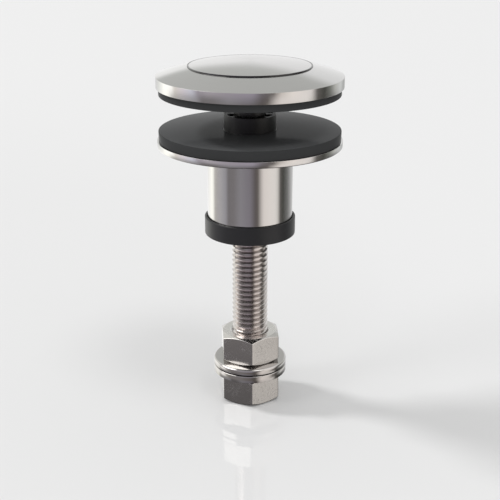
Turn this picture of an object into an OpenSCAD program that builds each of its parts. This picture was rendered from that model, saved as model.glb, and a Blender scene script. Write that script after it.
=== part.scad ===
// Swivelling point fixing for a glass panel.
// Two rubber-lined discs clamp the panel round a hole, the rear disc's body turns on a ball,
// and the ball's threaded stud carries two nuts and two washers that clamp a wall bracket.
// Millimetres. Z runs up the stud's axis, and the underside of the lower nut is at zero.

/* [Stud and nuts] */
// Outer diameter of the stud's thread
stud_d = 12; // [8:0.5:13]
// Pitch of the stud's thread
stud_pitch = 1.75; // [1:0.25:2]
// How far the thread runs on above the underside of the boot
thread_run = 1; // [0:0.5:2]
// Length of stud in sight between the upper nut and the boot
stud_free = 35.5; // [20:0.5:60]
// How far the stud's end stands back inside the lower nut
stud_setback = 0.5; // [0:0.1:2]
// Width of a nut across its flats
nut_flats = 19; // [17:0.5:24]
// Height of a nut
nut_h = 10; // [6:0.5:14]
// How far the circle that the chamfer leaves on a nut's face stands inside the flats
nut_chamfer = 0.5; // [0.1:0.1:1]
// Angle that the nuts are turned to about the stud
nut_turn = 4; // [0:1:59]
// How far the countersink at each end of a nut's thread opens out past the thread
nut_sink = 0.65; // [0.3:0.05:1.2]
// Outer diameter of a washer
washer_d = 25; // [22:0.5:34]
// Clearance round the stud in a washer's hole
washer_gap = 0.5; // [0.2:0.1:1.5]
// Thickness of a washer
washer_t = 2.5; // [1.5:0.1:4]
// Radius of the rounding on a washer's rim
washer_round = 0.9; // [0.3:0.1:1.1]

/* [Ball joint] */
// Diameter of the ball on the stud
ball_d = 18; // [16:0.5:24]
// Angle that the stud can swing to, to each side
swing = 10; // [5:1:12]
// Clearance left round the stud at its full swing
swing_gap = 0.6; // [0.3:0.1:1]
// Height of the bearing seats' gap round the ball's equator
seat_split = 0.1; // [0.05:0.05:0.5]
// Wall thickness of the seats outside the ball
seat_wall = 2.4; // [1.5:0.1:4]
// Thickness of the upper seat over the top of the ball
seat_crown = 1.2; // [0.8:0.1:3]
// How far the lower seat reaches down from the ball's centre
seat_drop = 4; // [3:0.1:5]
// Height of the retaining ring
ring_h = 4.65; // [3:0.05:8]
// How far the ring's thread stands outside the seats' chamber
ring_step = 0.5; // [0.3:0.1:1]
// How far the ring stands back inside the housing's foot
ring_setback = 0.2; // [0.1:0.1:1]
// Diameter of the two spanner holes in the ring
spanner_hole_d = 2; // [1:0.1:2.4]
// Depth of the spanner holes
spanner_hole_depth = 2; // [1:0.1:3]

/* [Housing] */
// Thickness of the housing's wall round the retaining ring
body_wall = 2.05; // [1.2:0.05:5]
// Thickness of steel between the ball's chamber and the clamp screw's hole
housing_web = 1.5; // [1:0.1:8]
// Diameter of the rear flange
flange_d = 60; // [50:1:80]
// Thickness of the rear flange
flange_t = 2; // [1.5:0.1:4]
// Fillet between the body and the flange
flange_fillet = 1.5; // [0.5:0.1:3]
// Bevel on the flange's edges
edge_bevel = 0.3; // [0.1:0.1:0.6]

/* [Boot] */
// Thickness of the boot's side wall
boot_wall = 0.85; // [0.6:0.05:3]
// Height of the boot
boot_h = 6; // [4:0.1:9]
// Thickness of the boot's floor
boot_floor = 2; // [1.2:0.1:3]
// Radius of the rounding on the boot's outer edges
boot_round = 0.4; // [0.2:0.1:0.5]

/* [Glass clamp] */
// Gap between the gaskets, for a 12 mm panel once they are squeezed
glass_gap = 11.5; // [9:0.1:20]
// Diameter of the rear gasket
rear_gasket_d = 59; // [46:0.5:78]
// Thickness of the rear gasket
rear_gasket_t = 3.2; // [1.5:0.1:5]
// Diameter of the front gasket
front_gasket_d = 58.5; // [46:0.5:78]
// Thickness of the front gasket
front_gasket_t = 2.4; // [1.5:0.1:5]
// Outer diameter of the bush that keeps the panel off the steel
bush_d = 16.8; // [15.6:0.1:18]
// How far the bush stands up out of the rear gasket
bush_h = 5; // [4:0.1:8]
// How far the bush's foot, which the rear gasket surrounds, stands out past its rim
bush_lip = 0.3; // [0.2:0.1:4]
// Wall thickness of the bush, at its rim and round the screw
bush_wall = 1; // [0.8:0.1:1.4]
// Number of moulded ribs in the bush
bush_ribs = 8; // [4:1:10]
// Thickness of a rib
bush_rib_t = 1.6; // [0.8:0.1:2]
// Angle that the bush is turned to
bush_turn = -3; // [-22:1:22]
// Depth of the pockets between the ribs
pocket_depth = 4; // [2:0.1:6]

/* [Front disc and cap] */
// Diameter of the front disc
front_d = 60; // [50:1:80]
// Height of the front disc's straight rim
rim_h = 3.5; // [2:0.1:6]
// Radius of the front disc's domed face
dome_r = 92; // [80:0.5:200]
// Diameter of the boss under the disc
boss_d = 14; // [12:0.5:20]
// How far the boss and the bush each stop short of the gasket's face, so that they never meet
boss_setback = 0.4; // [0.2:0.1:1]
// Clearance round the boss in the front gasket
boss_gap = 0.2; // [0.1:0.05:0.5]
// Diameter of the cap
cap_d = 39; // [34:0.5:50]
// Radius of the cap's domed face
cap_dome_r = 145; // [80:1:300]
// How far the cap's edge stands above the disc
cap_proud = 0.4; // [0.1:0.05:0.8]
// Depth of the recess that holds the cap, below the seal's seat
cap_seat = 1; // [0.8:0.1:1.4]
// Width of the cap's edge outside the spigot that presses into the recess
cap_ledge = 1.5; // [1:0.05:4]
// How far the spigot stops short of the recess's floor
spigot_setback = 0.2; // [0.1:0.05:0.4]
// Wall thickness of the spigot
spigot_wall = 1.5; // [1:0.1:3]
// Thickness of the cap's plate at its edge
cap_edge_t = 0.25; // [0.2:0.05:0.5]
// Bevel under the cap's edge
cap_bevel = 0.08; // [0.05:0.01:0.15]
// Thickness of the black seal under the cap
seal_t = 1; // [0.8:0.1:1.2]
// Thickness of the seal's lip round the cap's edge
seal_lip = 0.3; // [0.2:0.05:0.6]
// How far the lip stands above the cap's edge
seal_proud = 0; // [0:0.05:0.3]
// Diameter of the clamp screw
screw_d = 8; // [6:0.5:8]
// Diameter of the screw's countersunk head
screw_head_d = 16; // [14:0.5:18]
// How far the screw reaches into the housing
screw_reach = 8.5; // [6:0.1:16]
// Depth of the tapped hole below the screw's tip
tap_room = 0.5; // [0.3:0.1:3]
// Clearance round the screw in the bush
screw_gap = 0.2; // [0.1:0.05:0.5]
// Width across the flats of the screw's hexagon socket
socket_flats = 5; // [4:0.5:6]
// Depth of the socket
socket_depth = 3; // [2:0.1:3.4]

/* [Fits] */
// Radial clearance of a piece that turns or slides on another
running_gap = 0.05; // [0.03:0.01:0.08]
// Clearance between pieces that are assembled and stay put
seating_gap = 0.1; // [0.05:0.01:0.15]

/* [Hidden] */
$fn = 96;
dome_fn = 720;
steel = "silver";
rubber = "dimgray";
nylon = "black";
polymer = "ivory";

// How far a cut runs past the face that it opens
past = 1;
// Angle of a nut's chamfers and countersinks
nut_slope = 30;
// Depth of a metric thread, and width of its crest, for each millimetre of its pitch
depth_share = 0.6134;
crest_share = 0.125;
// Angle of a thread's flanks
flank_angle = 30;

// stud, nuts and washers, from the floor up
lower_washer_z = nut_h;
upper_washer_z = lower_washer_z + washer_t;
upper_nut_z = upper_washer_z + washer_t;
boot_z = upper_nut_z + nut_h + stud_free;
nut_bore_d = stud_d + 2 * running_gap;
thread_depth = depth_share * stud_pitch;

// ball joint, from the boot's floor up
body_z = boot_z + boot_floor + seating_gap;
ring_z = body_z + ring_setback;
ring_top_z = ring_z + ring_h;
seat_bottom_z = ring_top_z + running_gap;
ball_z = seat_bottom_z + seat_drop;
seat_r = ball_d / 2 + running_gap;
seat_top_z = ball_z + seat_r + seat_crown;
chamber_top_z = seat_top_z + running_gap;

// ball joint, from the ball out
seat_d = 2 * (seat_r + seat_wall);
chamber_d = seat_d + 2 * running_gap;
ring_bore_d = chamber_d + 2 * ring_step;
body_d = ring_bore_d + 2 * body_wall;
boot_bore_d = body_d + 2 * seating_gap;
ring_hole_d = 2 * swing_r(ring_z);

// glass clamp, from the ball's chamber up
tapped_z = chamber_top_z + housing_web;
screw_z = tapped_z + tap_room;
rear_gasket_z = screw_z + screw_reach;
flange_z = rear_gasket_z - flange_t;
glass_z = rear_gasket_z + rear_gasket_t;
front_gasket_z = glass_z + glass_gap;
front_z = front_gasket_z + front_gasket_t;
rim_z = front_z + rim_h;
bush_foot_d = bush_d + 2 * bush_lip;

// front disc, cap and screw
dome_z = rim_z - rise_at(dome_r, front_d);
seal_d = cap_d + 2 * (seal_lip + running_gap);
recess_d = seal_d + 2 * running_gap;
cap_edge_z = dome_z + rise_at(dome_r, recess_d) + cap_proud;
cap_dome_z = cap_edge_z - rise_at(cap_dome_r, cap_d);
cap_plate_z = cap_edge_z - cap_edge_t;
seal_z = cap_plate_z - seal_t;
recess_z = seal_z - cap_seat;
spigot_d = cap_d - 2 * cap_ledge;
head_h = (screw_head_d - screw_d) / 2;

// Radius that the swinging stud and its clearance need at a height below the ball.
function swing_r(z) = (ball_z - z) * tan(swing) + stud_d / 2 / cos(swing) + swing_gap;

// Height of a dome of radius r above its centre, at the edge of a disc of diameter d.
function rise_at(r, d) = sqrt(r * r - d * d / 4);

// --- shapes used more than once ---

// A ring or disc whose outer edges are rounded.
module rounded_ring(d, h, hole_d, round_r) {
    rotate_extrude() difference() {
        union() {
            square([d / 2 - round_r, h]);
            translate([0, round_r]) square([d / 2, h - 2 * round_r]);
            for (z = [round_r, h - round_r]) translate([d / 2 - round_r, z]) circle(round_r);
        }
        translate([-past, -past]) square([hole_d / 2 + past, h + 2 * past]);
    }
}

// A washer-shaped plate with sharp edges.
module plain_ring(d, h, hole_d) {
    difference() {
        cylinder(d = d, h = h);
        translate([0, 0, -past]) cylinder(d = hole_d, h = h + 2 * past);
    }
}

// A disc with a bevelled lower edge and a face domed to a radius centred at face_z.
module domed_disc(d, z, bevel, face_r, face_z) {
    rotate_extrude() intersection() {
        polygon([
            [0, z], [d / 2 - bevel, z], [d / 2, z + bevel], [d / 2, face_z + face_r], [0, face_z + face_r]
        ]);
        translate([0, face_z]) circle(face_r, $fn = dome_fn);
    }
}

// A hexagon prism with a corner at the front.
module hexagon(flats, h) {
    sides = 6;
    rotate([0, 0, -90]) cylinder(d = flats / cos(180 / sides), h = h, $fn = sides);
}

// A full hexagon nut, chamfered and countersunk on both faces.
module nut() {
    face_r = nut_flats / 2 - nut_chamfer;
    corner_r = nut_flats / sqrt(3);
    chamfer_h = (corner_r - face_r) * tan(nut_slope);
    sink_d = nut_bore_d + 2 * nut_sink;
    sink_h = nut_sink * tan(nut_slope);
    difference() {
        intersection() {
            rotate([0, 0, nut_turn]) hexagon(nut_flats, nut_h);
            rotate_extrude() polygon([
                [0, 0], [face_r, 0], [corner_r, chamfer_h],
                [corner_r, nut_h - chamfer_h], [face_r, nut_h], [0, nut_h]
            ]);
        }
        translate([0, 0, -past]) cylinder(d = nut_bore_d, h = nut_h + 2 * past);
        cylinder(d1 = sink_d, d2 = nut_bore_d, h = sink_h);
        translate([0, 0, nut_h - sink_h]) cylinder(d1 = nut_bore_d, d2 = sink_d, h = sink_h);
    }
}

// A flat washer with a rounded rim.
module washer() {
    rounded_ring(washer_d, washer_t, stud_d + 2 * washer_gap, washer_round);
}

// --- stud, nuts and washers ---

module lower_nut() {
    color(steel) nut();
}

module upper_nut() {
    color(steel) translate([0, 0, upper_nut_z]) nut();
}

module lower_washer() {
    color(steel) translate([0, 0, lower_washer_z]) washer();
}

module upper_washer() {
    color(steel) translate([0, 0, upper_washer_z]) washer();
}

// The ball and its stud, turned from one bar, with the thread drawn as rings of its true section.
module ball_stud() {
    crest_r = stud_d / 2;
    root_r = crest_r - thread_depth;
    half_crest = crest_share * stud_pitch / 2;
    half_root = stud_pitch / 2 - half_crest - thread_depth * tan(flank_angle);
    thread_z = stud_setback + thread_depth + half_crest;
    turns = floor((boot_z + thread_run - thread_z) / stud_pitch);
    rings = [
        for (i = [0 : turns - 1]) let (crest_z = thread_z + i * stud_pitch, root_z = crest_z + stud_pitch / 2)
            each [
                [crest_r, crest_z - half_crest], [crest_r, crest_z + half_crest],
                [root_r, root_z - half_root], [root_r, root_z + half_root]
            ]
    ];
    color(steel) union() {
        translate([0, 0, ball_z]) sphere(d = ball_d);
        rotate_extrude() polygon(concat(
            [[0, stud_setback], [root_r, stud_setback]],
            rings,
            [[crest_r, thread_z + turns * stud_pitch - half_crest], [crest_r, ball_z], [0, ball_z]]
        ));
    }
}

// --- bearing ---

// A turned block over one side of the ball, hollowed to take it.
module seat_shell(z0, z1) {
    difference() {
        translate([0, 0, z0]) cylinder(d = seat_d, h = z1 - z0);
        translate([0, 0, ball_z]) sphere(r = seat_r);
    }
}

module upper_seat() {
    color(polymer) seat_shell(ball_z + seat_split / 2, seat_top_z);
}

module lower_seat() {
    color(polymer) seat_shell(seat_bottom_z, ball_z - seat_split / 2);
}

// Threaded ring that shuts the ball in, with two holes for a pin spanner.
module retaining_ring() {
    spanner_r = (ring_bore_d + ring_hole_d) / 4;
    color(steel) translate([0, 0, ring_z]) difference() {
        plain_ring(ring_bore_d - 2 * seating_gap, ring_h, ring_hole_d);
        for (side = [-1, 1])
            translate([side * spanner_r, 0, -past])
                cylinder(d = spanner_hole_d, h = spanner_hole_depth + past);
    }
}

// --- housing ---

// Rear flange and ball chamber, turned as one, with the clamp screw's tapped hole on top.
module housing() {
    body_r = body_d / 2;
    flange_r = flange_d / 2;
    tap_d = screw_d + 2 * running_gap;
    color(steel) difference() {
        rotate_extrude() difference() {
            union() {
                translate([0, body_z]) square([body_r, rear_gasket_z - body_z]);
                polygon([
                    [0, flange_z], [flange_r - edge_bevel, flange_z], [flange_r, flange_z + edge_bevel],
                    [flange_r, rear_gasket_z - edge_bevel], [flange_r - edge_bevel, rear_gasket_z],
                    [0, rear_gasket_z]
                ]);
                translate([body_r - past, flange_z - flange_fillet])
                    square([flange_fillet + past, flange_fillet + past]);
            }
            translate([body_r + flange_fillet, flange_z - flange_fillet]) circle(flange_fillet);
        }
        translate([0, 0, body_z - past]) cylinder(d = ring_bore_d, h = ring_top_z - body_z + past);
        translate([0, 0, body_z - past]) cylinder(d = chamber_d, h = chamber_top_z - body_z + past);
        translate([0, 0, tapped_z]) cylinder(d = tap_d, h = rear_gasket_z - tapped_z + past);
    }
}

// Rubber cup round the foot of the housing, open in the middle for the stud.
module dust_boot() {
    color(rubber) translate([0, 0, boot_z]) difference() {
        rounded_ring(boot_bore_d + 2 * boot_wall, boot_h, 2 * swing_r(boot_z), boot_round);
        translate([0, 0, boot_floor]) cylinder(d = boot_bore_d, h = boot_h - boot_floor + past);
    }
}

// --- glass clamp ---

module rear_gasket() {
    color(rubber) translate([0, 0, rear_gasket_z])
        plain_ring(rear_gasket_d, rear_gasket_t, bush_foot_d + 2 * seating_gap);
}

module front_gasket() {
    color(rubber) translate([0, 0, front_gasket_z])
        plain_ring(front_gasket_d, front_gasket_t, boss_d + 2 * boss_gap);
}

// Moulded bush: a foot, a ribbed rim for the panel's hole, and a tube that sleeves the screw.
module glass_bush() {
    bore_d = screw_d + 2 * screw_gap;
    tube_d = bore_d + 2 * bush_wall;
    rim_top_z = glass_z + bush_h;
    tube_top_z = front_gasket_z - boss_setback;
    color(nylon) difference() {
        union() {
            translate([0, 0, rear_gasket_z]) cylinder(d = bush_foot_d, h = rear_gasket_t);
            translate([0, 0, rear_gasket_z]) cylinder(d = bush_d, h = rim_top_z - rear_gasket_z);
            translate([0, 0, rear_gasket_z]) cylinder(d = tube_d, h = tube_top_z - rear_gasket_z);
        }
        translate([0, 0, rear_gasket_z - past])
            cylinder(d = bore_d, h = tube_top_z - rear_gasket_z + 2 * past);
        translate([0, 0, rim_top_z - pocket_depth]) difference() {
            plain_ring(bush_d - 2 * bush_wall, pocket_depth + past, tube_d);
            for (i = [0 : bush_ribs - 1])
                rotate([0, 0, bush_turn + i * 360 / bush_ribs])
                    translate([-bush_rib_t / 2, -bush_d / 2, -past])
                        cube([bush_rib_t, bush_d / 2, pocket_depth + past]);
        }
    }
}

// --- front ---

// Domed clamping disc with a stepped recess for the cap and a countersink for the screw.
module front_disc() {
    boss_z = front_gasket_z + boss_setback;
    hole_d = screw_d + 2 * seating_gap;
    sink_d = screw_head_d + 2 * seating_gap;
    sink_h = (sink_d - hole_d) / 2;
    color(steel) difference() {
        union() {
            domed_disc(front_d, front_z, edge_bevel, dome_r, dome_z);
            translate([0, 0, boss_z]) cylinder(d = boss_d, h = front_z - boss_z + past);
        }
        translate([0, 0, seal_z]) cylinder(d = recess_d, h = dome_z + dome_r - seal_z + past);
        translate([0, 0, recess_z]) cylinder(d = spigot_d + 2 * running_gap, h = cap_seat + past);
        translate([0, 0, boss_z - past]) cylinder(d = hole_d, h = recess_z - boss_z + 2 * past);
        translate([0, 0, recess_z - sink_h]) cylinder(d1 = hole_d, d2 = sink_d, h = sink_h);
    }
}

// Countersunk screw that joins the front disc to the housing through the bush.
module clamp_screw() {
    color(steel) difference() {
        union() {
            translate([0, 0, screw_z]) cylinder(d = screw_d, h = recess_z - screw_z);
            translate([0, 0, recess_z - head_h]) cylinder(d1 = screw_d, d2 = screw_head_d, h = head_h);
        }
        translate([0, 0, recess_z - socket_depth]) hexagon(socket_flats, socket_depth + past);
    }
}

// Seal of L section, with a seat under the cap's edge and a lip round it.
module cap_seal() {
    color(nylon) translate([0, 0, seal_z]) {
        plain_ring(seal_d, seal_t, spigot_d + 2 * seating_gap);
        plain_ring(seal_d, seal_t + cap_edge_t + seal_proud, seal_d - 2 * seal_lip);
    }
}

// Domed cap with a hollow spigot that presses into the front disc.
module cover_cap() {
    spigot_z = recess_z + spigot_setback;
    hollow_h = cap_plate_z - spigot_z;
    color(steel) difference() {
        union() {
            domed_disc(cap_d, cap_plate_z, cap_bevel, cap_dome_r, cap_dome_z);
            translate([0, 0, spigot_z]) cylinder(d = spigot_d, h = hollow_h + cap_edge_t);
        }
        translate([0, 0, spigot_z - past]) cylinder(d = spigot_d - 2 * spigot_wall, h = hollow_h + past);
    }
}

lower_nut();
lower_washer();
upper_washer();
upper_nut();
ball_stud();
upper_seat();
lower_seat();
retaining_ring();
housing();
dust_boot();
rear_gasket();
glass_bush();
front_gasket();
front_disc();
clamp_screw();
cap_seal();
cover_cap();
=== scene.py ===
"""Dresses a swivelling glass point fixing: its finishes, its rolled thread, and the studio it stands in."""

import logging
import math
from collections.abc import Iterable, Sequence
from dataclasses import dataclass
from enum import Enum

import bmesh
import bpy
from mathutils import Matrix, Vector

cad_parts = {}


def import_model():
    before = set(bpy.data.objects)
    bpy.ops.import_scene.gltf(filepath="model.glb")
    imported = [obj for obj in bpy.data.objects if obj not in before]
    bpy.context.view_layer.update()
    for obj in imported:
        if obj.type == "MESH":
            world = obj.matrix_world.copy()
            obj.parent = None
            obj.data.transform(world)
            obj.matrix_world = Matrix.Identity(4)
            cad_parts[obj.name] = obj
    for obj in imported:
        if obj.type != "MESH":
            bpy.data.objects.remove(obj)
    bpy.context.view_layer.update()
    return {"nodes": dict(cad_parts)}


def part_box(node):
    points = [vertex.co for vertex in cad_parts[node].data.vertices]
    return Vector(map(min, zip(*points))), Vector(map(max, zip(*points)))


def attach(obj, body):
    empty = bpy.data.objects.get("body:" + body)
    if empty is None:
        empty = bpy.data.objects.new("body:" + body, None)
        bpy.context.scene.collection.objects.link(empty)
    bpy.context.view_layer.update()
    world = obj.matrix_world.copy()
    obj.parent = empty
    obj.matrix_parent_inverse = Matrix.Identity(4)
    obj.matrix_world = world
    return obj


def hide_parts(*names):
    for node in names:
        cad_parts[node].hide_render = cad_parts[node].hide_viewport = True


LOG = logging.getLogger("point_fixing")
MM = 0.001
ON_AXIS_MM = 1e-6  # a smaller radius is on the axis
WELD_M = 1e-6  # points that are nearer to each other are merged
SLIVER_M = 1e-7  # shorter edges are removed

Colour = tuple[float, float, float]
Point = tuple[float, float]
Vertex = tuple[float, float, float]
Face = tuple[int, ...]
Socket = bpy.types.NodeSocket
Feeds = Iterable[tuple[str | int, object]]
Bands = Sequence[tuple[float, Colour]]


# --- meshes ---


def add_piece(name: str, verts: Sequence[Vertex], faces: Sequence[Face]) -> bpy.types.Object:
    """Makes a smooth-shaded mesh object and links it.

    Args:
        name: The piece's name.
        verts: Points in metres.
        faces: Lists of indices into verts.

    Returns:
        The new object.
    """
    mesh = bpy.data.meshes.new(name)
    mesh.from_pydata(verts, [], faces)
    mesh.validate()
    mesh.polygons.foreach_set("use_smooth", [True] * len(mesh.polygons))
    piece = bpy.data.objects.new(name, mesh)
    bpy.context.scene.collection.objects.link(piece)
    return piece


@dataclass(frozen=True)
class EdgeRound:
    """A small rounding of a piece's sharp edges, which keeps its flats flat."""

    width_mm: float
    segments: int
    angle: float

    def put_on(self, piece: bpy.types.Object) -> None:
        """Rounds the edges that turn by more than the angle.

        Args:
            piece: The piece.
        """
        bevel = piece.modifiers.new("soften", "BEVEL")
        bevel.width = self.width_mm * MM
        bevel.segments = self.segments
        bevel.limit_method = "ANGLE"
        bevel.angle_limit = math.radians(self.angle)
        bevel.harden_normals = True
        bevel.use_clamp_overlap = True


HAIR_ROUND = EdgeRound(width_mm=0.03, segments=1, angle=50.0)
TURNED_ROUND = EdgeRound(width_mm=0.1, segments=2, angle=50.0)
CAP_ROUND = EdgeRound(width_mm=0.06, segments=2, angle=30.0)
BOOT_ROUND = EdgeRound(width_mm=0.35, segments=4, angle=30.0)
NUT_ROUND = EdgeRound(width_mm=0.16, segments=3, angle=20.0)


def round_axis(r: float, z: float, step: int, steps: int) -> Vertex:
    """Returns the point in metres at a radius and height in millimetres, a number of steps round the axis."""
    a = 2 * math.pi * step / steps
    return (r * math.cos(a) * MM, r * math.sin(a) * MM, z * MM)


def turn_outline(
    outline: Sequence[Point], steps: int, verts: list[Vertex], faces: list[Face], closed: bool = False
) -> None:
    """Turns an outline about the Z axis.

    Args:
        outline: (radius, height) points in millimetres, anticlockwise, where a radius of 0 is on the axis.
        steps: Faces round the axis.
        verts: Points in metres, which the turned ones are added to.
        faces: Faces, which the turned ones are added to.
        closed: Joins the outline's last point to its first.
    """
    rings: list[list[int]] = []
    for r, z in outline:
        if r < ON_AXIS_MM:
            rings.append([len(verts)] * steps)
            verts.append((0.0, 0.0, z * MM))
        else:
            rings.append(list(range(len(verts), len(verts) + steps)))
            verts.extend(round_axis(r, z, i, steps) for i in range(steps))
    for low, high in zip(rings, rings[1:] + rings[:1] if closed else rings[1:]):
        if low[0] == low[1] and high[0] == high[1]:
            continue
        for i in range(steps):
            j = (i + 1) % steps
            faces.append(tuple(dict.fromkeys((low[i], low[j], high[j], high[i]))))


def lathe(name: str, outline: Sequence[Point], steps: int = 192) -> bpy.types.Object:
    """Turns a closed outline into a piece.

    Args:
        name: The piece's name.
        outline: (radius, height) points in millimetres, anticlockwise.
        steps: Faces round the axis.

    Returns:
        The turned piece.
    """
    verts: list[Vertex] = []
    faces: list[Face] = []
    turn_outline(outline, steps, verts, faces, closed=True)
    return add_piece(name, verts, faces)


def polar(centre: Point, radius: float, angle: float) -> Point:
    """Returns the point at a distance from a centre, in a direction in radians."""
    return (centre[0] + radius * math.cos(angle), centre[1] + radius * math.sin(angle))


def arc(centre: Point, radius: float, start: float, end: float, steps: int) -> list[Point]:
    """Returns the points of an arc between two angles, in degrees from the outward direction, ends included."""
    return [polar(centre, radius, math.radians(start + (end - start) * i / steps)) for i in range(steps + 1)]


def lower_edge(r: float, z: float, rounding: float, steps: int) -> list[Point]:
    """Returns the points of a turned piece's rounded lower outer edge."""
    return arc((r - rounding, z + rounding), rounding, start=-90, end=0, steps=steps)


def upper_edge(r: float, z: float, rounding: float, steps: int) -> list[Point]:
    """Returns the points of a turned piece's rounded upper outer edge."""
    return arc((r - rounding, z - rounding), rounding, start=0, end=90, steps=steps)


def dome(radius: float, edge: Point, to_r: float, steps: int) -> list[Point]:
    """Lays points along a domed face, from its edge towards the axis.

    Args:
        radius: Radius of the dome.
        edge: (radius, height) of the dome's outer edge.
        to_r: Radius at which the points stop.
        steps: Stretches between the points.

    Returns:
        The points, first and last included.
    """
    centre_z = edge[1] - math.sqrt(radius**2 - edge[0] ** 2)
    points = []
    for i in range(steps + 1):
        r = edge[0] + (to_r - edge[0]) * i / steps
        points.append((r, centre_z + math.sqrt(radius**2 - r**2)))
    return points


def box_mm(node: str) -> tuple[Vector, Vector]:
    """Returns a CAD node's lowest and highest corner in millimetres."""
    low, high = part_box(node)
    return low / MM, high / MM


def outer_r(node: str) -> float:
    """Returns the radius of a turned CAD node in millimetres."""
    low, high = box_mm(node)
    return (high.x - low.x) / 2


# --- node building ---


def shade(colour: Colour, share: float) -> Colour:
    """Returns a colour made lighter or darker by a share, and never over 1."""
    return tuple(min(1.0, c * share) for c in colour)


class NodeSheet:
    """A material's or a world's node tree, with short calls for the nodes used here."""

    # How far up or down a face looks, from 0 to 1, where it starts to count as level and where it counts in full.
    LEVEL_FROM = 0.93
    LEVEL_TO = 0.98
    # The mix node's colour sockets, which stand behind those for numbers and vectors.
    MIX_A, MIX_B, MIX_RESULT = 6, 7, 2

    def __init__(self, tree: bpy.types.NodeTree) -> None:
        """Clears the tree."""
        self.tree = tree
        tree.nodes.clear()

    def add(self, kind: str, **settings: object) -> bpy.types.Node:
        """Adds a node.

        Args:
            kind: The node's type.
            settings: Attributes to set on it.

        Returns:
            The node.
        """
        node = self.tree.nodes.new(kind)
        for key, value in settings.items():
            setattr(node, key, value)
        return node

    def join(self, source: Socket, target: Socket) -> None:
        """Links an output to an input."""
        self.tree.links.new(source, target)

    def feed(self, value: object, target: Socket) -> None:
        """Links a socket to an input, or writes a plain value there.

        Args:
            value: The socket or value.
            target: The input.
        """
        if isinstance(value, Socket):
            self.join(value, target)
        else:
            target.default_value = value

    def wire(self, kind: str, inputs: Feeds, output: str | int = 0, **settings: object) -> Socket:
        """Adds a node and feeds it.

        Args:
            kind: The node's type.
            inputs: (name or number, socket or plain value) of each input that is fed.
            output: Name or number of the output that is wanted.
            settings: Attributes to set on the node.

        Returns:
            That output.
        """
        node = self.add(kind, **settings)
        for key, value in inputs:
            self.feed(value, node.inputs[key])
        return node.outputs[output]

    def math(self, operation: str, a: object, b: object = 0.0, c: object = 0.0) -> Socket:
        """Returns the result of a math operation on up to three inputs."""
        return self.wire("ShaderNodeMath", enumerate((a, b, c)), operation=operation)

    def weigh(self, a: object, b: object, share: float) -> Socket:
        """Adds two values, so that the first has this share of the sum and the second has the rest."""
        return self.math("ADD", self.math("MULTIPLY", a, share), self.math("MULTIPLY", b, 1 - share))

    def band(self, value: object, low: float, high: float) -> Socket:
        """Returns a value's way from low, which gives 0, to high, which gives 1, with both ends eased."""
        limits = (("Value", value), ("From Min", low), ("From Max", high))
        return self.wire("ShaderNodeMapRange", limits, "Result", interpolation_type="SMOOTHSTEP")

    def noise(self, vector: object, scale: float, detail: float, rough: float = 0.5) -> Socket:
        """Returns the height of a noise texture, from 0 to 1, where rough is the strength of its finer octaves."""
        inputs = (("Vector", vector), ("Scale", scale), ("Detail", detail), ("Roughness", rough))
        return self.wire("ShaderNodeTexNoise", inputs, "Fac")

    def blend(self, factor: object, a: object, b: object) -> Socket:
        """Mixes two colours.

        Args:
            factor: 0 gives a and 1 gives b.
            a: The first colour.
            b: The second colour.

        Returns:
            The mixed colour.
        """
        a, b = ((*value, 1.0) if isinstance(value, tuple) else value for value in (a, b))
        inputs = ((0, factor), (self.MIX_A, a), (self.MIX_B, b))
        return self.wire("ShaderNodeMix", inputs, self.MIX_RESULT, data_type="RGBA")

    def tones(self, factor: object, colour: Colour, spread: float, painted_level_light: float) -> Socket:
        """Varies a colour over a piece, and paints its level faces lighter as painted light.

        Args:
            factor: 0 gives the darkest tone and 1 the lightest.
            colour: The middle tone.
            spread: How far the tones go either way, as a share of the colour.
            painted_level_light: How much lighter the faces that lie level are painted, as painted light, where 1 leaves
                them as the rest.

        Returns:
            The colour.
        """
        darker, lighter = shade(colour, 1 - spread), shade(colour, 1 + spread)
        toned = self.blend(factor, darker, lighter)
        # painted light: the level faces get a lighter copy of the colour, in place of the light that falls on them
        if painted_level_light > 1:
            painted_lighter = self.blend(factor, shade(darker, painted_level_light), shade(lighter, painted_level_light))
            toned = self.blend(self.level(), toned, painted_lighter)
        return toned

    def ramp(self, turn: object, bands: Bands) -> Socket:
        """Colours a turn of the studio.

        Args:
            turn: The share of the turn, from 0 behind the fixing, by its left, front and right, to 1.
            bands: (azimuth in degrees from the front, colour) along the turn.

        Returns:
            The colour.
        """
        node = self.add("ShaderNodeValToRGB")
        self.feed(turn, node.inputs[0])
        stops = node.color_ramp.elements
        while len(stops) > 1:
            stops.remove(stops[-1])
        for i, (azimuth, colour) in enumerate(bands):
            at = (azimuth + 180) / 360
            stop = stops[0] if i == 0 else stops.new(at)
            stop.position = at
            stop.color = (*colour, 1.0)
        return node.outputs[0]

    def whole(self) -> Socket:
        """Returns the piece's own coordinates."""
        return self.wire("ShaderNodeTexCoord", (), "Object")

    def split(self, vector: Socket) -> tuple[Socket, Socket, Socket]:
        """Returns the three parts of a vector."""
        parts = self.wire("ShaderNodeSeparateXYZ", ((0, vector),)).node
        return tuple(parts.outputs)

    def place(self) -> tuple[Socket, Socket, Socket]:
        """Finds a point of the piece about the stud's axis.

        Returns:
            Its radius, angle and height.
        """
        x, y, z = self.split(self.whole())
        squares = self.math("ADD", self.math("MULTIPLY", x, x), self.math("MULTIPLY", y, y))
        return self.math("SQRT", squares), self.math("ARCTAN2", y, x), z

    def level(self) -> Socket:
        """Returns 1 on the faces that lie level and 0 on the rest."""
        upward = self.split(self.wire("ShaderNodeTexCoord", (), "Normal"))[2]
        return self.band(self.math("ABSOLUTE", upward), self.LEVEL_FROM, self.LEVEL_TO)

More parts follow.
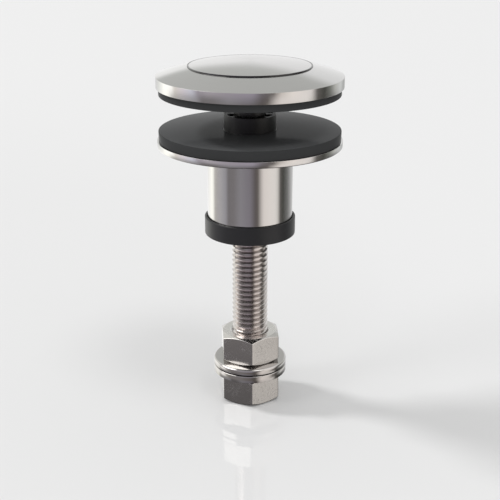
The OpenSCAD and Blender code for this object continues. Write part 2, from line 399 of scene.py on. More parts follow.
    def drawn_out(self, stretch: float, scale: float, detail: float) -> Socket:
        """Adds a noise texture that is drawn out round the axis.

        Args:
            stretch: How much the angle counts in it.
            scale: Its scale.
            detail: Its octaves.

        Returns:
            Its height, from 0 to 1.
        """
        radius, angle, height = self.place()
        drawn = (radius, height, self.math("MULTIPLY", angle, stretch))
        return self.noise(self.wire("ShaderNodeCombineXYZ", enumerate(drawn)), scale, detail)

    def bump(self, height: object, depth_mm: float, strength: float) -> Socket:
        """Returns the normal, bent by a height from 0 to 1 of a real depth, as far as the strength lets it show."""
        inputs = (("Height", height), ("Distance", depth_mm * MM), ("Strength", strength))
        return self.wire("ShaderNodeBump", inputs, "Normal")


# --- finishes ---


class Grain(Enum):
    """Which way the marks of a metal finish run."""

    TURNED = "turned"
    ROLLED = "rolled"
    PRESSED = "pressed"
    POLISHED = "polished"


def new_material(name: str) -> tuple[bpy.types.Material, NodeSheet, bpy.types.Node]:
    """Makes an empty material.

    Args:
        name: The finish's name.

    Returns:
        The material, its node sheet and its shader.
    """
    material = bpy.data.materials.new(name)
    material.use_nodes = True
    sheet = NodeSheet(material.node_tree)
    shader = sheet.add("ShaderNodeBsdfPrincipled")
    sheet.join(shader.outputs[0], sheet.add("ShaderNodeOutputMaterial").inputs["Surface"])
    return material, sheet, shader


@dataclass(frozen=True)
class Steel:
    """Stainless steel with the marks of how it was made."""

    name: str
    colour: Colour
    roughness: float
    grain: Grain
    anisotropy: float = 0.0
    streak_turn: float = 0.25
    spread: float = 0.05
    tint: float = 0.05
    mark_depth_mm: float = 0.004
    mark_strength: float = 0.25
    pitted: float = 0.0
    stray_pits: float = 0.15
    # painted light: how much lighter the level faces are painted, where 1 paints none
    painted_level_light: float = 1.0
    groove_r_mm: float = 0.0
    groove_fade_mm: float = 0.1
    groove_dulling: float = 0.1
    groove_light: float = 1.22

    def make(self) -> bpy.types.Material:
        """Makes the steel's material.

        Returns:
            The material.
        """
        material, sheet, shader = new_material(self.name)
        shader.inputs["Metallic"].default_value = 1.0
        shader.inputs["Anisotropic"].default_value = self.anisotropy
        marks = self.marks(sheet)
        colour = sheet.tones(marks, self.colour, self.tint, self.painted_level_light)
        rough = sheet.math("MULTIPLY_ADD", marks, 2 * self.spread, self.roughness - self.spread)
        if self.groove_r_mm:
            radius = sheet.place()[0]
            groove = sheet.band(radius, self.groove_r_mm * MM, (self.groove_r_mm - self.groove_fade_mm) * MM)
            rough = sheet.math("MULTIPLY_ADD", groove, self.groove_dulling, rough)
            colour = sheet.blend(groove, colour, shade(shade(self.colour, 1 + self.tint), self.groove_light))
        if self.pitted:
            rough = sheet.math("MULTIPLY_ADD", self.pits(sheet), self.pitted, rough)
        sheet.join(colour, shader.inputs["Base Color"])
        sheet.join(rough, shader.inputs["Roughness"])
        sheet.join(sheet.bump(marks, self.mark_depth_mm, self.mark_strength), shader.inputs["Normal"])
        if self.anisotropy:
            tangent = sheet.wire("ShaderNodeTangent", (), direction_type="RADIAL", axis="Z")
            sheet.join(tangent, shader.inputs["Tangent"])
            shader.inputs["Anisotropic Rotation"].default_value = self.streak_turn
        return material

    def pits(self, sheet: NodeSheet) -> Socket:
        """Scatters dull pits, which gather in patches.

        Args:
            sheet: The material's node sheet.

        Returns:
            1 in the pits and 0 beside them.
        """
        specks = sheet.band(sheet.noise(sheet.whole(), scale=2700.0, detail=2.0), low=0.52, high=0.66)
        patches = sheet.band(sheet.noise(sheet.whole(), scale=150.0, detail=2.0), low=0.4, high=0.58)
        return sheet.math("MULTIPLY", specks, sheet.math("MULTIPLY_ADD", patches, 1 - self.stray_pits, self.stray_pits))

    def marks(self, sheet: NodeSheet) -> Socket:
        """Lays the tool's marks.

        Args:
            sheet: The material's node sheet.

        Returns:
            Their height, from 0 to 1.
        """
        if self.grain is Grain.TURNED:
            fine = sheet.drawn_out(stretch=0.0006, scale=5200.0, detail=2.0)
            broad = sheet.drawn_out(stretch=0.004, scale=700.0, detail=2.0)
            return sheet.weigh(fine, broad, share=0.6)
        if self.grain is Grain.ROLLED:
            return sheet.drawn_out(stretch=0.003, scale=1400.0, detail=3.0)
        if self.grain is Grain.PRESSED:
            fine = sheet.noise(sheet.whole(), scale=2600.0, detail=4.0, rough=0.65)
            patches = sheet.noise(sheet.whole(), scale=420.0, detail=3.0, rough=0.6)
            return sheet.weigh(fine, patches, share=0.55)
        return sheet.noise(sheet.whole(), scale=900.0, detail=2.0)


@dataclass(frozen=True)
class Rubber:
    """Moulded rubber or plastic: a matt skin with a fine moulding texture."""

    name: str
    colour: Colour
    roughness: float
    spread: float = 0.06
    gloss: float = 0.5
    cloud: float = 0.12
    skin_scale: float = 2200.0
    skin_depth_mm: float = 0.01
    skin_strength: float = 0.3
    # painted light: how much lighter the level faces are painted, where 1 paints none
    painted_level_light: float = 1.0

    def make(self) -> bpy.types.Material:
        """Makes the rubber's material.

        Returns:
            The material.
        """
        material, sheet, shader = new_material(self.name)
        shader.inputs["Specular IOR Level"].default_value = self.gloss
        skin = sheet.noise(sheet.whole(), self.skin_scale, detail=3.0, rough=0.6)
        clouds = sheet.noise(sheet.whole(), scale=90.0, detail=4.0, rough=0.55)
        rough = sheet.math("MULTIPLY_ADD", skin, 2 * self.spread, self.roughness - self.spread)
        sheet.join(sheet.tones(clouds, self.colour, self.cloud, self.painted_level_light), shader.inputs["Base Color"])
        sheet.join(rough, shader.inputs["Roughness"])
        sheet.join(sheet.bump(skin, self.skin_depth_mm, self.skin_strength), shader.inputs["Normal"])
        return material


RECIPES = (
    Steel(
        "turned_steel", (0.60, 0.59, 0.585), 0.12, Grain.TURNED,
        anisotropy=0.7, spread=0.03, tint=0.03, mark_strength=0.12,
    ),
    Steel(
        "stud_steel", (0.53, 0.5, 0.49), 0.1, Grain.ROLLED,
        spread=0.02, tint=0.04, mark_strength=0.04, groove_r_mm=5.97,
    ),
    Steel(
        "nut_steel", (0.565, 0.55, 0.535), 0.15, Grain.PRESSED,
        # painted light: the nut's level top and underside are painted 1.4 times lighter
        tint=0.06, mark_depth_mm=0.02, mark_strength=0.4, pitted=0.3, painted_level_light=1.4,
    ),
    Steel(
        "washer_steel", (0.54, 0.525, 0.515), 0.06, Grain.POLISHED,
        spread=0.02, tint=0.03, mark_strength=0.1,
    ),
    Steel("screw_steel", (0.56, 0.55, 0.54), 0.28, Grain.ROLLED),
    Rubber(
        "gasket_rubber", (0.047, 0.048, 0.049), 0.12,
        # painted light: the gasket's level faces are painted twice as light as its edges
        gloss=0.006, cloud=0.05, skin_strength=0.04, painted_level_light=2.0,
    ),
    Rubber("boot_rubber", (0.025, 0.025, 0.027), 0.36, gloss=0.25, skin_strength=0.1),
    Rubber("seal_rubber", (0.02, 0.02, 0.021), 0.16, skin_strength=0.04),
    Rubber("bush_nylon", (0.012, 0.012, 0.0125), 0.38, skin_scale=1500.0, skin_strength=0.1),
    Rubber("seat_polymer", (0.78, 0.76, 0.7), 0.4, cloud=0.04),
)


class Finishes:
    """Every finish of the fixing, by the slot of the record that it stands for."""

    def __init__(self) -> None:
        """Makes each material once."""
        self.materials = {recipe.name: recipe.make() for recipe in RECIPES}

    def dress(self, piece: bpy.types.Object, slot: str) -> None:
        """Gives a piece a finish.

        Args:
            piece: The piece, new or from the CAD model.
            slot: The record's slot.
        """
        slots = piece.data.materials
        if len(slots) == 0:
            slots.append(self.materials[slot])
        for i in range(len(slots)):
            slots[i] = self.materials[slot]


# --- the fixing's pieces ---


@dataclass
class SubAssembly:
    """A group of pieces that are made together and dressed from one set of finishes."""

    finishes: Finishes

    def mount(self, piece: bpy.types.Object, node: str, body: str, slot: str) -> None:
        """Puts a new piece in a CAD node's place.

        Args:
            piece: The piece.
            node: The CAD node that it stands for.
            body: The body that it rides on.
            slot: The record's slot that it is finished from.
        """
        self.finishes.dress(piece, slot)
        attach(piece, body)
        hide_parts(node)
        LOG.info("%s stands for %s on %s", piece.name, node, body)

    def keep(self, nodes: dict[str, bpy.types.Object], node: str, slot: str) -> None:
        """Dresses a CAD node that keeps its own shape."""
        self.finishes.dress(nodes[node], slot)
        LOG.info("%s keeps its shape", node)


@dataclass
class ThreadedStud(SubAssembly):
    """The ball stud, with its rolled metric thread. Sizes are in millimetres, shares are of the pitch."""

    crest_r: float = 6.0
    pitch: float = 1.75
    depth_share: float = 0.6134
    root_flat: float = 0.1
    root_lift: float = 0.02
    crest_flat: float = 0.26
    crest_drop: float = 0.07
    edge_share: float = 0.025
    lead_in: float = 0.5
    run_out: float = 1.2
    thread_top: float = 61.6
    ball_z: float = 71.5
    columns: int = 72
    ball_steps: int = 28
    spare_turns: int = 2
    sharp_angle: float = 40.0

    @property
    def depth(self) -> float:
        """Depth of the thread."""
        return self.depth_share * self.pitch

    def build(self) -> None:
        """Makes the stud in the place of its plain CAD shaft."""
        low, high = box_mm("ball_stud")
        verts, faces = self.thread(low.z)
        self.add_ends(verts, faces, low.z, high.z)
        piece = add_piece("threaded_stud", verts, faces)
        self.weld(piece)
        self.mount(piece, "ball_stud", "stud", "stud_steel")

    def phases(self) -> list[Point]:
        """Lays out one turn of the thread, root first.

        Returns:
            (share of the pitch, radius) at each of its edges.
        """
        root_r = self.crest_r - self.depth
        half_root, half_crest, edge = self.root_flat / 2, self.crest_flat / 2, self.edge_share
        return [
            (0.0, root_r),
            (half_root, root_r + self.root_lift),
            (0.5 - half_crest - edge, self.crest_r - self.crest_drop),
            (0.5 - half_crest, self.crest_r),
            (0.5 + half_crest, self.crest_r),
            (0.5 + half_crest + edge, self.crest_r - self.crest_drop),
            (1 - half_root, root_r + self.root_lift),
        ]

    def thread(self, bottom: float) -> tuple[list[Vertex], list[Face]]:
        """Winds the thread round the axis as one sheet.

        Args:
            bottom: Height of the stud's end.

        Returns:
            Its points and its faces.
        """
        phases = self.phases()
        turns = math.ceil((self.thread_top - bottom) / self.pitch) + self.spare_turns
        start = bottom - self.pitch * (1 + self.lead_in)
        verts: list[Vertex] = []
        for row in range(turns * len(phases)):
            phase, r = phases[row % len(phases)]
            for column in range(self.columns):
                z = start + self.pitch * (row // len(phases) + phase + column / self.columns)
                z = min(max(z, bottom), self.thread_top)
                verts.append(round_axis(self.held_r(r, z, bottom), z, column, self.columns))
        faces: list[Face] = []
        for row in range(turns * len(phases) - 1):
            for column in range(self.columns):
                here = row * self.columns + column
                beside = here + 1 if column < self.columns - 1 else (row + len(phases)) * self.columns
                if beside + self.columns < len(verts):
                    faces.append((here, beside, beside + self.columns, here + self.columns))
        return verts, faces

    def held_r(self, r: float, z: float, bottom: float) -> float:
        """Holds a radius of the thread inside the chamfer at the stud's end and outside the run-out at its top.

        Args:
            r: The radius.
            z: Its height.
            bottom: Height of the stud's end.

        Returns:
            The radius that is left.
        """
        r = min(r, self.crest_r - self.depth + (z - bottom))
        fade = max(0.0, (z - self.thread_top + self.run_out) / self.run_out)
        return max(r, self.crest_r - self.depth * (1 - fade))

    def add_ends(self, verts: list[Vertex], faces: list[Face], bottom: float, top: float) -> None:
        """Closes the stud below with a flat end and above with its ball.

        Args:
            verts: The thread's points, which the ends are added to.
            faces: The thread's faces, which the ends are added to.
            bottom: Height of the stud's end.
            top: Height of the ball's top.
        """
        ball_r = top - self.ball_z
        neck = math.degrees(math.asin(-math.sqrt(1 - (self.crest_r / ball_r) ** 2)))
        turn_outline([(0.0, bottom), (self.crest_r - self.depth, bottom)], self.columns, verts, faces)
        upper = [(self.crest_r, self.thread_top)] + arc((0.0, self.ball_z), ball_r, neck, 90, self.ball_steps)
        turn_outline(upper, self.columns, verts, faces)

    def weld(self, piece: bpy.types.Object) -> None:
        """Merges the points that meet at the thread's two ends and marks the sharp edges.

        Args:
            piece: The stud.
        """
        work = bmesh.new()
        work.from_mesh(piece.data)
        bmesh.ops.remove_doubles(work, verts=work.verts, dist=WELD_M)
        bmesh.ops.dissolve_degenerate(work, edges=work.edges, dist=SLIVER_M)
        loose = [v for v in work.verts if not v.link_faces]
        bmesh.ops.delete(work, geom=loose, context="VERTS")
        sharp = math.radians(self.sharp_angle)
        for edge in work.edges:
            edge.smooth = len(edge.link_faces) == 2 and edge.calc_face_angle(0.0) < sharp
        work.to_mesh(piece.data)
        work.free()


@dataclass
class HexNut(SubAssembly):
    """A hexagon nut, chamfered and countersunk on both faces. Sizes are in millimetres, angles in degrees."""

    flats: float = 19.0
    chamfer_inset: float = 0.5
    sink: float = 0.65
    bore_r: float = 6.05
    corner_round: float = 0.35
    slope: float = 30.0
    turn: float = 4.0
    sides: int = 6
    corner_steps: int = 4
    side_steps: int = 12

    def outline(self) -> list[Point]:
        """Lays out the hexagon with its corners rounded.

        Returns:
            (x, y) points, anticlockwise.
        """
        full, half = 360 // self.sides, 180 // self.sides
        centre_r = self.flats / math.sqrt(3) - self.corner_round / math.cos(math.radians(half))
        points: list[Point] = []
        for side in range(self.sides):
            a = math.radians(self.turn - 90 + full * side)
            b = a + math.radians(full)
            centre, following = polar((0.0, 0.0), centre_r, a), polar((0.0, 0.0), centre_r, b)
            for step in range(self.corner_steps + 1):
                t = a + math.radians(-half + full * step / self.corner_steps)
                points.append(polar(centre, self.corner_round, t))
            first, last = points[-1], polar(following, self.corner_round, b + math.radians(-half))
            for step in range(1, self.side_steps):
                share = step / self.side_steps
                points.append((first[0] + (last[0] - first[0]) * share, first[1] + (last[1] - first[1]) * share))
        return points

    def section(self, full_r: float, bottom: float, top: float) -> list[Point]:
        """Lays out the nut's section at one point of its hexagon, from the bore round to the bore.

        Args:
            full_r: Distance of that point from the axis.
            bottom: Height of the nut's underside.
            top: Height of its top.

        Returns:
            (radius, height) points.
        """
        face_r = self.flats / 2 - self.chamfer_inset
        mouth_r = self.bore_r + self.sink
        tangent = math.tan(math.radians(self.slope))
        sink_h = self.sink * tangent
        chamfer_h = (full_r - face_r) * tangent
        return [
            (self.bore_r, bottom + sink_h),
            (mouth_r, bottom),
            (face_r, bottom),
            (full_r, bottom + chamfer_h),
            (full_r, top - chamfer_h),
            (face_r, top),
            (mouth_r, top),
            (self.bore_r, top - sink_h),
        ]

    def build(self, name: str, node: str, body: str) -> None:
        """Makes a nut in a CAD nut's place.

        Args:
            name: The piece's name.
            node: The CAD node.
            body: The body that it rides on.
        """
        low, high = box_mm(node)
        hexagon = self.outline()
        sections = [self.section(math.hypot(x, y), low.z, high.z) for x, y in hexagon]
        verts: list[Vertex] = []
        for ring in zip(*sections):
            for (x, y), (r, z) in zip(hexagon, ring):
                scale = r / math.hypot(x, y)
                verts.append((x * scale * MM, y * scale * MM, z * MM))
        rings, count = len(sections[0]), len(hexagon)
        faces: list[Face] = []
        for k in range(rings):
            n = (k + 1) % rings
            for i in range(count):
                j = (i + 1) % count
                faces.append((k * count + i, k * count + j, n * count + j, n * count + i))
        piece = add_piece(name, verts, faces)
        NUT_ROUND.put_on(piece)
        self.mount(piece, node, body, "nut_steel")


@dataclass
class Washer(SubAssembly):
    """A flat washer with a polished rim, rounded above and rolled in below. Sizes are in millimetres."""

    hole_r: float = 6.5
    roll_in: float = 1.9
    rim_rise: float = 0.08
    roll_steps: int = 9

    def build(self, name: str, node: str, body: str, roll_h: float, top_round: float) -> None:
        """Makes a washer in a CAD washer's place.

        Args:
            name: The piece's name.
            node: The CAD node.
            body: The body that it rides on.
            roll_h: Height of the rolled-in lower edge.
            top_round: Radius of the rounded upper edge.
        """
        low, high = box_mm(node)
        r = outer_r(node)
        outline = [(self.hole_r, low.z)]
        for step in range(self.roll_steps + 1):
            a = math.radians(90 * step / self.roll_steps)
            outline.append((r - self.roll_in * (1 - math.sin(a)), low.z + roll_h * (1 - math.cos(a))))
        outline.append((r, low.z + roll_h + self.rim_rise))
        outline += upper_edge(r, high.z, top_round, steps=8)
        outline.append((self.hole_r, high.z))
        piece = lathe(name, outline)
        TURNED_ROUND.put_on(piece)
        self.mount(piece, node, body, "washer_steel")


@dataclass
class Pad(SubAssembly):
    """A flat rubber gasket with a cut hole and a moulded outer edge. Sizes are in millimetres."""

    edge: float = 0.22

    def build(self, name: str, node: str, body: str, hole_r: float) -> None:
        """Makes a gasket in a CAD gasket's place.

        Args:
            name: The piece's name.
            node: The CAD node.
            body: The body that it rides on.
            hole_r: Radius of the hole.
        """
        low, high = box_mm(node)
        r = outer_r(node)
        outline = [(hole_r, low.z)] + lower_edge(r, low.z, self.edge, steps=5)
        outline += upper_edge(r, high.z, self.edge, steps=5) + [(hole_r, high.z)]
        piece = lathe(name, outline, steps=256)
        HAIR_ROUND.put_on(piece)
        self.mount(piece, node, body, "gasket_rubber")


@dataclass
class Head(SubAssembly):
    """The housing with its rear flange, the boot, the gasket and the bush. Sizes are in millimetres."""

    body_r: float = 14.05
    foot_hole_r: float = 12.0
    chamber_r: float = 11.5
    seat_gap: float = 0.05
    flange_t: float = 2.0
    fillet: float = 1.5
    under_round: float = 0.25
    over_round: float = 0.03
    tap_r: float = 4.05
    tap_spare: float = 0.5
    boot_gap: float = 0.1
    boot_hole_r: float = 8.63
    bush_gap: float = 0.1

    def build(self, nodes: dict[str, bpy.types.Object]) -> None:
        """Makes the housing and dresses what it carries.

        Args:
            nodes: The frame's nodes.
        """
        self.build_housing()
        self.build_boot()
        Pad(self.finishes).build("rear_pad", "rear_gasket", "head", outer_r("glass_bush") + self.bush_gap)
        self.keep(nodes, "glass_bush", "bush_nylon")
        self.keep(nodes, "retaining_ring", "turned_steel")
        self.keep(nodes, "upper_seat", "seat_polymer")
        self.keep(nodes, "lower_seat", "seat_polymer")

    def build_housing(self) -> None:
        """Turns the housing and its flange."""
        low, high = box_mm("housing")
        ring_top = box_mm("retaining_ring")[1].z
        ceiling = box_mm("upper_seat")[1].z + self.seat_gap
        tap_end = box_mm("clamp_screw")[0].z - self.tap_spare
        flange_r = outer_r("housing")
        flange_z = high.z - self.flange_t
        outline = [(self.foot_hole_r, low.z), (self.body_r, low.z)]
        fillet_at = (self.body_r + self.fillet, flange_z - self.fillet)
        outline += arc(fillet_at, self.fillet, start=180, end=90, steps=8)
        outline += lower_edge(flange_r, flange_z, self.under_round, steps=5)
        outline += upper_edge(flange_r, high.z, self.over_round, steps=4)
        outline += [(self.tap_r, high.z), (self.tap_r, tap_end), (0, tap_end), (0, ceiling)]
        outline += [(self.chamber_r, ceiling), (self.chamber_r, ring_top), (self.foot_hole_r, ring_top)]
        piece = lathe("housing_body", outline, steps=256)
        TURNED_ROUND.put_on(piece)
        self.mount(piece, "housing", "head", "turned_steel")

    def build_boot(self) -> None:
        """Makes the rubber boot round the housing's foot."""
        low, high = box_mm("dust_boot")
        r, inner, hole_r = outer_r("dust_boot"), self.body_r + self.boot_gap, self.boot_hole_r
        floor_top = box_mm("housing")[0].z - self.boot_gap
        outline = [(hole_r, low.z), (r, low.z), (r, high.z), (inner, high.z), (inner, floor_top), (hole_r, floor_top)]
        piece = lathe("boot", outline)
        BOOT_ROUND.put_on(piece)
        self.mount(piece, "dust_boot", "head", "boot_rubber")


@dataclass
class Front(SubAssembly):
    """The domed front disc, its gasket, and the cap with its seal. Sizes are in millimetres."""

    rim_h: float = 3.5
    back_round: float = 0.12
    dome_r: float = 92.0
    boss_r: float = 7.0
    boss_gap: float = 0.2
    hole_r: float = 4.1
    sink_gap: float = 0.1
    cap_dome_r: float = 145.0
    cap_edge_t: float = 0.25
    spigot_r: float = 18.0
    spigot_wall: float = 1.5
    running_gap: float = 0.05

    def build(self, nodes: dict[str, bpy.types.Object]) -> None:
        """Makes the disc, gasket and cap and dresses the rest.

        Args:
            nodes: The frame's nodes.
        """
        self.build_disc()
        Pad(self.finishes).build("front_pad", "front_gasket", "lining", self.boss_r + self.boss_gap)
        self.build_cap()
        self.keep(nodes, "clamp_screw", "screw_steel")
        self.keep(nodes, "cap_seal", "seal_rubber")

    def build_disc(self) -> None:
        """Turns the front disc."""
        low_z = box_mm("front_disc")[0].z
        back = box_mm("front_gasket")[1].z
        seal_z = box_mm("cap_seal")[0].z
        recess_r = outer_r("cap_seal") + self.running_gap
        recess_z = box_mm("clamp_screw")[1].z
        sink_r = outer_r("clamp_screw") + self.sink_gap
        spigot_hole = self.spigot_r + self.running_gap
        r = outer_r("front_disc")
        outline = [(self.hole_r, low_z), (self.boss_r, low_z), (self.boss_r, back)]
        outline += lower_edge(r, back, self.back_round, steps=4)
        outline += dome(self.dome_r, (r, back + self.rim_h), recess_r, steps=12)
        outline += [(recess_r, seal_z), (spigot_hole, seal_z), (spigot_hole, recess_z), (sink_r, recess_z)]
        outline.append((self.hole_r, recess_z - (sink_r - self.hole_r)))
        piece = lathe("front_plate", outline, steps=288)
        HAIR_ROUND.put_on(piece)
        self.mount(piece, "front_disc", "front", "turned_steel")

    def build_cap(self) -> None:
        """Turns the cap and its spigot."""
        low, high = box_mm("cover_cap")
        r = outer_r("cover_cap")
        edge_z = high.z - self.cap_dome_r + math.sqrt(self.cap_dome_r**2 - r**2)
        plate_z = edge_z - self.cap_edge_t
        hollow_r = self.spigot_r - self.spigot_wall
        outline = [(0, plate_z), (hollow_r, plate_z), (hollow_r, low.z), (self.spigot_r, low.z)]
        outline += [(self.spigot_r, plate_z), (r, plate_z)]
        outline += dome(self.cap_dome_r, (r, edge_z), 0.0, steps=16)
        piece = lathe("cap", outline, steps=256)
        CAP_ROUND.put_on(piece)
        self.mount(piece, "cover_cap", "cap", "turned_steel")


# --- studio ---


def grey(level: float) -> Colour:
    """Returns a grey of a level."""
    return (level, level, level)


def direction(azimuth: float, height: float) -> Vector:
    """Returns the direction at an azimuth from the front, positive to the right, and a height, in degrees."""
    a, e = math.radians(azimuth), math.radians(height)
    return Vector((math.sin(a) * math.cos(e), -math.cos(a) * math.cos(e), math.sin(e)))


@dataclass(frozen=True)
class SoftBox:
    """A round soft box that metal mirrors, far out in the studio. Its place and size are in degrees."""

    azimuth: float
    height: float
    radius: float
    edge: float
    colour: Colour

    def hang(self, sheet: NodeSheet, toward: Socket, behind: Socket) -> Socket:
        """Hangs the box in front of the rest of the studio.

        Args:
            sheet: The world's node sheet.
            toward: The direction looked in.
            behind: What is seen there without the box.

        Returns:
            What is seen there with it.
        """
        pair = enumerate((toward, direction(self.azimuth, self.height)))
        nearness = sheet.wire("ShaderNodeVectorMath", pair, "Value", operation="DOT_PRODUCT")
        outer, inner = (math.cos(math.radians(self.radius + side * self.edge)) for side in (0.5, -0.5))
        return sheet.blend(sheet.band(nearness, outer, inner), behind, self.colour)


@dataclass(frozen=True)
class Lamp:
    """A far soft lamp that lights the floor and the matt pieces and casts the shadows. Angles are in degrees."""

    name: str
    azimuth: float
    height: float
    size: float
    share: float

    def hang(self) -> None:
        """Makes the lamp, which gives its share of the light that falls on the floor."""
        data = bpy.data.lights.new(self.name, "SUN")
        data.angle = math.radians(self.size)
        data.energy = self.share * math.pi / math.sin(math.radians(self.height))
        lamp = bpy.data.objects.new(self.name, data)
        away = direction(self.azimuth, self.height)
        lamp.location = away
        lamp.rotation_mode = "QUATERNION"
        lamp.rotation_quaternion = away.to_track_quat("Z", "Y")
        lamp.visible_glossy = False
        bpy.context.scene.collection.objects.link(lamp)


@dataclass(frozen=True)
class Studio:
    """The plain floor, the soft light and the camera.

    Distances are in metres. Each pair of heights is the sines of the two between which one ring of the studio
    passes into the next, or the lowest one darkens.
    """

    lens: float = 73.6
    sensor: float = 36.0
    camera_at: Vertex = (0.0, -0.3234, 0.1716)
    pitch: float = 20.01
    far_clip: float = 50.0
    floor_size: float = 14.0
    floor_grey: float = 0.8
    floor_rough: float = 0.5
    polish: float = 0.08
    polish_rough: float = 0.015
    dim_heights: Point = (-0.33, -0.62)
    dim_loss: float = 0.7
    dark_heights: Point = (-0.58, -0.75)
    dark_loss: float = 0.85
    middle_starts: Point = (-0.435, -0.415)
    middle_ends: Point = (-0.39, -0.36)
    horizon_starts: Point = (-0.34, -0.19)
    level_starts: Point = (-0.14, -0.08)
    high_fade: float = 0.075

    def build(self) -> None:
        """Makes the whole studio."""
        self.build_camera()
        self.build_floor()
        self.build_world()
        for lamp in LAMPS:
            lamp.hang()
        bpy.context.scene.view_settings.view_transform = "Standard"
        LOG.info("studio is ready")

    def build_camera(self) -> None:
        """Places the camera."""
        data = bpy.data.cameras.new("camera")
        data.lens = self.lens
        data.sensor_width = self.sensor
        data.clip_end = self.far_clip
        camera = bpy.data.objects.new("camera", data)
        camera.location = self.camera_at
        camera.rotation_euler = (math.radians(90 - self.pitch), 0.0, 0.0)
        bpy.context.scene.collection.objects.link(camera)
        bpy.context.scene.camera = camera

    def build_floor(self) -> None:
        """Lays the pale polished floor, which is clear from below and which metal doesn't mirror."""
        half = self.floor_size / 2
        corners = [(-half, -half, 0.0), (half, -half, 0.0), (half, half, 0.0), (-half, half, 0.0)]
        floor = add_piece("floor", corners, [(0, 1, 2, 3)])
        material, sheet, shader = new_material("floor")
        shader.inputs["Base Color"].default_value = (*grey(self.floor_grey), 1.0)
        shader.inputs["Roughness"].default_value = self.floor_rough
        shader.inputs["Specular IOR Level"].default_value = 0.0
        gloss = sheet.wire("ShaderNodeBsdfAnisotropic", (("Roughness", self.polish_rough),))
        clear = sheet.wire("ShaderNodeBsdfTransparent", ())
        below = sheet.wire("ShaderNodeNewGeometry", (), "Backfacing")
        above = sheet.wire("ShaderNodeMixShader", enumerate((self.polish, shader.outputs[0], gloss)))
        output = next(n for n in material.node_tree.nodes if n.type == "OUTPUT_MATERIAL")
        sheet.join(sheet.wire("ShaderNodeMixShader", enumerate((below, above, clear))), output.inputs["Surface"])
        floor.data.materials.append(material)
        floor.visible_glossy = False

    def build_world(self) -> None:
        """Hangs the studio's rings and soft boxes round the fixing, for metal to mirror."""
        world = bpy.data.worlds.new("studio")
        bpy.context.scene.world = world
        world.use_nodes = True
        sheet = NodeSheet(world.node_tree)
        toward = sheet.wire("ShaderNodeTexCoord", (), "Generated")
        mirrored = self.rings(sheet, toward)
        for box in SOFT_BOXES:
            mirrored = box.hang(sheet, toward, mirrored)
        colour = sheet.blend(sheet.wire("ShaderNodeLightPath", (), "Is Glossy Ray"), SOFT_LIGHT, mirrored)
        colour = sheet.blend(sheet.wire("ShaderNodeLightPath", (), "Is Camera Ray"), colour, BACKDROP)
        background = sheet.wire("ShaderNodeBackground", (("Color", colour),))
        sheet.join(background, sheet.add("ShaderNodeOutputWorld").inputs["Surface"])

    def rings(self, sheet: NodeSheet, toward: Socket) -> Socket:
        """Stacks the studio's rings of light and dark, from below the fixing to above it.

        Args:
            sheet: The world's node sheet.
            toward: The direction looked in.

        Returns:
            The colour seen there.
        """
        x, y, z = sheet.split(toward)
        turn = sheet.math("DIVIDE", sheet.math("ARCTAN2", x, sheet.math("MULTIPLY", y, -1.0)), math.pi)
        around = sheet.math("MULTIPLY_ADD", turn, 0.5, 0.5)
        low = sheet.ramp(around, LOW_RING)
        for heights, loss in ((self.dim_heights, self.dim_loss), (self.dark_heights, self.dark_loss)):
            low = sheet.blend(sheet.band(z, *heights), low, sheet.blend(loss, low, grey(0.0)))
        middle = sheet.blend(sheet.band(z, *self.middle_starts), low, sheet.ramp(around, MIDDLE_RING))
        lower = sheet.blend(sheet.band(z, *self.middle_ends), middle, low)
        horizon = sheet.blend(sheet.band(z, *self.horizon_starts), lower, sheet.ramp(around, HORIZON_RING))
        level = sheet.blend(sheet.band(z, *self.level_starts), horizon, sheet.ramp(around, LEVEL_RING))
        above = sheet.math("SUBTRACT", z, sheet.ramp(around, HIGH_EDGE))
        return sheet.blend(sheet.band(above, -self.high_fade, self.high_fade), level, sheet.ramp(around, HIGH_RING))


# What steel mirrors round the studio, ring by ring: (azimuth in degrees from the front, positive to the right; colour).
# Just below the horizon, which the rims and the flange mirror.
HORIZON_RING = (
    (-180, grey(0.78)),
    (-160, grey(0.8)),
    (-146, (0.98, 1.0, 0.96)),
    (-135, (1.3, 1.32, 1.26)),
    (-126, (1.7, 1.7, 1.6)),
    (-109, (1.7, 1.7, 1.65)),
    (-102, (1.12, 1.06, 0.98)),
    (-88, (1.07, 1.0, 1.06)),
    (-74, (0.93, 0.95, 1.07)),
    (-65, (0.52, 0.48, 0.54)),
    (-50, (0.62, 0.58, 0.63)),
    (-25, (0.5, 0.46, 0.52)),
    (3, (0.48, 0.44, 0.52)),
    (14, (0.24, 0.22, 0.24)),
    (28, (0.19, 0.17, 0.16)),
    (37, (0.85, 0.79, 0.73)),
    (52, (1.22, 1.14, 1.07)),
    (78, (1.07, 1.02, 0.99)),
    (87, (0.18, 0.17, 0.16)),
    (101, (0.09, 0.09, 0.08)),
    (113, (0.3, 0.31, 0.28)),
    (125, (0.72, 0.73, 0.69)),
    (141, (0.86, 0.88, 0.87)),
    (154, (0.52, 0.53, 0.52)),
    (166, (0.5, 0.51, 0.5)),
    (179, grey(0.76)),
)
# At the horizon, which the outer parts of the domes mirror.
LEVEL_RING = (
    (-180, grey(0.98)),
    (-135, (1.3, 1.32, 1.26)),
    (-110, (1.6, 1.6, 1.55)),
    (-88, (1.0, 0.95, 0.98)),
    (-60, (0.55, 0.51, 0.57)),
    (3, (0.45, 0.41, 0.48)),
    (24, (0.2, 0.18, 0.17)),
    (45, (1.1, 1.02, 0.96)),
    (78, (1.05, 1.0, 0.97)),
    (95, (0.15, 0.15, 0.14)),
    (125, (0.69, 0.7, 0.66)),
    (145, (0.86, 0.88, 0.87)),
    (179, grey(0.98)),
)
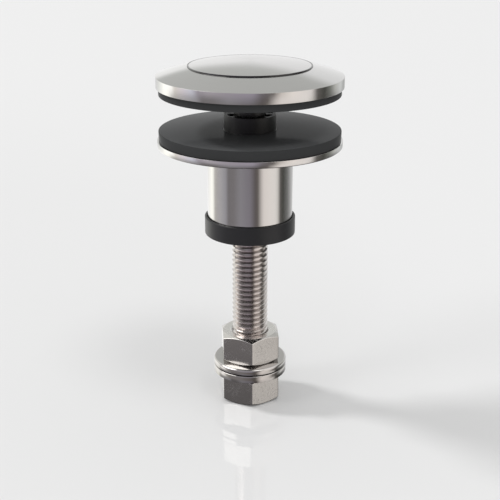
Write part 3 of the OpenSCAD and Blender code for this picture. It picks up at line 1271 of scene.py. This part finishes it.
# A narrow ring within the low one, which the thread mirrors.
MIDDLE_RING = (
    (-180, grey(1.2)),
    (-125, (1.4, 1.38, 1.34)),
    (-108, (1.2, 1.18, 1.15)),
    (-97, (1.5, 1.47, 1.44)),
    (-87, (1.1, 1.07, 1.03)),
    (-79, (0.55, 0.53, 0.5)),
    (-70, (0.34, 0.32, 0.3)),
    (-56, (0.3, 0.28, 0.28)),
    (-31, (0.29, 0.27, 0.27)),
    (-2, (0.2, 0.18, 0.17)),
    (14, (0.14, 0.13, 0.115)),
    (18, (0.21, 0.19, 0.17)),
    (24, (0.5, 0.46, 0.43)),
    (31, (0.84, 0.78, 0.74)),
    (38, (1.08, 1.0, 0.95)),
    (59, (0.95, 0.9, 0.85)),
    (67, (0.7, 0.66, 0.62)),
    (75, (0.34, 0.32, 0.3)),
    (90, (0.12, 0.11, 0.1)),
    (101, (0.3, 0.3, 0.29)),
    (115, (0.9, 0.9, 0.88)),
    (179, grey(1.2)),
)
# Well below the horizon, which the body, the washers and the nuts mirror.
LOW_RING = (
    (-180, grey(1.1)),
    (-150, (1.3, 1.3, 1.28)),
    (-125, (1.62, 1.62, 1.5)),
    (-118, (1.4, 1.4, 1.3)),
    (-110, (0.62, 0.6, 0.56)),
    (-98, (0.54, 0.53, 0.53)),
    (-68, (0.44, 0.43, 0.46)),
    (-60, (0.225, 0.213, 0.218)),
    (-45, (0.24, 0.227, 0.23)),
    (-25, (0.37, 0.36, 0.39)),
    (0, (0.31, 0.29, 0.33)),
    (14, (0.17, 0.15, 0.15)),
    (21, (0.17, 0.15, 0.14)),
    (31, (0.85, 0.8, 0.76)),
    (38, (1.12, 1.05, 1.0)),
    (72, (1.2, 1.15, 1.1)),
    (80, (0.95, 0.92, 0.87)),
    (90, (0.16, 0.15, 0.14)),
    (101, (0.09, 0.09, 0.08)),
    (124, grey(0.22)),
    (150, grey(0.65)),
    (179, grey(1.1)),
)
# Above the horizon, which the middle of the domes mirrors.
HIGH_RING = (
    (-180, (0.63, 0.64, 0.62)),
    (-162, (0.65, 0.66, 0.64)),
    (-146, (1.05, 1.06, 1.02)),
    (-118, (1.05, 1.05, 1.0)),
    (-100, (0.5, 0.49, 0.5)),
    (0, (0.35, 0.34, 0.35)),
    (60, (1.3, 1.25, 1.2)),
    (90, (1.1, 1.07, 1.05)),
    (150, (0.62, 0.63, 0.61)),
    (179, (0.63, 0.64, 0.62)),
)
# Sine of the height at which the upper studio begins round the turn.
HIGH_EDGE = (
    (-180, grey(0.27)),
    (-166, grey(0.225)),
    (-150, grey(0.06)),
    (-90, grey(0.06)),
    (-60, grey(0.22)),
    (90, grey(0.3)),
    (140, grey(0.46)),
    (168, grey(0.45)),
    (176, grey(0.33)),
    (179.9, grey(0.27)),
)
SOFT_BOXES = (
    SoftBox(azimuth=-75.0, height=30.0, radius=23.0, edge=9.0, colour=(3.8, 3.75, 3.65)),
    SoftBox(azimuth=39.0, height=62.0, radius=10.0, edge=6.0, colour=(3.0, 2.95, 2.85)),
)
# What matt surfaces are lit by, and what stands behind the fixing.
SOFT_LIGHT = grey(0.65)
BACKDROP = grey(0.855)
LAMPS = (
    Lamp("key", azimuth=-106.5, height=41.0, size=10.0, share=0.25),
    Lamp("side", azimuth=-64.0, height=38.0, size=16.0, share=0.055),
    Lamp("fill", azimuth=39.0, height=66.0, size=19.0, share=0.13),
)


def main() -> None:
    """Builds the studio and dresses the fixing, piece by piece."""
    logging.basicConfig(level=logging.INFO, format="%(name)s: %(message)s")
    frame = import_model()
    Studio().build()
    finishes = Finishes()
    nodes = frame["nodes"]
    ThreadedStud(finishes).build()
    nut = HexNut(finishes)
    nut.build("foot_nut", "lower_nut", "foot")
    nut.build("clamp_nut", "upper_nut", "jam_nut")
    washer = Washer(finishes)
    washer.build("foot_washer", "lower_washer", "loose_washer", roll_h=0.12, top_round=0.2)
    washer.build("clamp_washer", "upper_washer", "carried_washer", roll_h=0.5, top_round=0.7)
    Head(finishes).build(nodes)
    Front(finishes).build(nodes)


if __name__ == "__main__":
    main()
